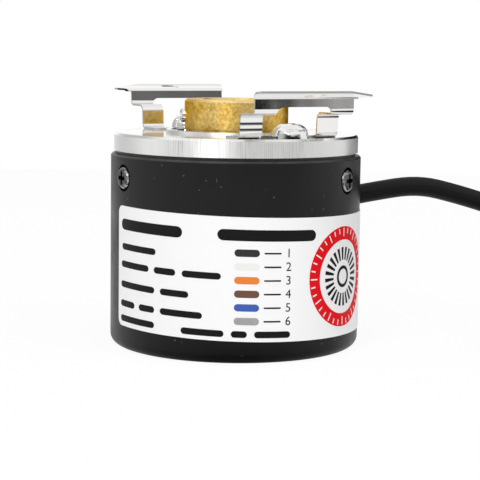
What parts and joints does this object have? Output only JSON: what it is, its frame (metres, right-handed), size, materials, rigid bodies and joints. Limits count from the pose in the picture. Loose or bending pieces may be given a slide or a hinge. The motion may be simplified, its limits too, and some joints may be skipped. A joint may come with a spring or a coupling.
{
  "type": "hollow shaft rotary encoder",
  "caption": "Round black incremental encoder with an aluminium flange, brass through-bore shaft, two spring brackets and a side cable with a put-away coil.",
  "frame": {"origin": "on the shaft axis at the underside of the cover", "axes": "+Z along the shaft towards the mounting side; the view that shows the label looks along +Y"},
  "size_m": [0.1301, 0.0789, 0.0412],
  "materials": {
    "cover_plastic": "moulded, fine matt",
    "label_film": "printed film",
    "dark_screw": "black oxide",
    "flange_aluminium": "fine turned",
    "shaft_brass": "turned",
    "spring_steel": "bright rolled stainless",
    "nickel_screw": "nickel plated",
    "bearing_steel": "ground",
    "cage_polymer": "moulded",
    "disc_glass": "chrome on glass",
    "board_laminate": "solder mask",
    "component_black": "moulded",
    "capacitor_can": "drawn can",
    "connector_white": "moulded",
    "led_clear": "clear lens",
    "seal_felt": "felt",
    "grommet_rubber": "moulded",
    "cable_jacket": "smooth matt jacket",
    "tie_plastic": "flat tie",
    "tinned_copper": "tinned",
    "lead_black": "insulation",
    "lead_white": "insulation",
    "lead_orange": "insulation",
    "lead_brown": "insulation",
    "lead_blue": "insulation",
    "lead_shield": "braided shield, twisted"
  },
  "bodies": {
    "housing": {"rear_cover": "cover_plastic", "side_label": "label_film", "cover_screws": "dark_screw", "front_flange": "flange_aluminium", "right_bracket": "spring_steel", "left_bracket": "spring_steel", "bracket_screws": "nickel_screw", "front_outer_ring": "bearing_steel", "rear_outer_ring": "bearing_steel", "wave_washer": "bearing_steel", "pcb": "board_laminate", "pcb_standoffs": "shaft_brass", "pcb_screws": "nickel_screw", "pcb_components": "component_black", "capacitors": "capacitor_can", "connector": "connector_white", "led_holder": "component_black", "led": "led_clear", "photodetector": "component_black", "phase_mask": "disc_glass", "rear_seal": "seal_felt", "cable_grommet": "grommet_rubber", "strain_collar": "bearing_steel", "inner_wires": "lead_white", "cable": "cable_jacket", "cable_coil": "cable_jacket", "coil_ties": "tie_plastic", "cable_tail": "cable_jacket", "lead_black": "lead_black", "lead_white": "lead_white", "lead_orange": "lead_orange", "lead_brown": "lead_brown", "lead_blue": "lead_blue", "lead_shield": "lead_shield", "lead_tips": "tinned_copper"},
    "rotor": {"hollow_shaft": "shaft_brass", "set_screws": "nickel_screw", "front_inner_ring": "bearing_steel", "rear_inner_ring": "bearing_steel", "inner_spacer": "bearing_steel", "retaining_ring": "bearing_steel", "disc_hub": "flange_aluminium", "disc_hub_screw": "dark_screw", "code_disc": "disc_glass", "disc_retainer": "flange_aluminium"},
    "front_cage": {"front_balls": "bearing_steel", "front_ball_cage": "cage_polymer"},
    "rear_cage": {"rear_balls": "bearing_steel", "rear_ball_cage": "cage_polymer"}
  },
  "joints": [
    {"name": "shaft_spin", "type": "hinge", "parent": "housing", "child": "rotor", "pos_m": [0, 0, 0.02], "axis": [0, 0, 1], "continuous": true},
    {"name": "front_cage_spin", "type": "hinge", "parent": "housing", "child": "front_cage", "pos_m": [0, 0, 0.0321], "axis": [0, 0, 1], "continuous": true},
    {"name": "rear_cage_spin", "type": "hinge", "parent": "housing", "child": "rear_cage", "pos_m": [0, 0, 0.0205], "axis": [0, 0, 1], "continuous": true}
  ],
  "couplings": [
    {"joint": "front_cage_spin", "follows": "shaft_spin", "ratio": 0.45833},
    {"joint": "rear_cage_spin", "follows": "shaft_spin", "ratio": 0.45833}
  ]
}
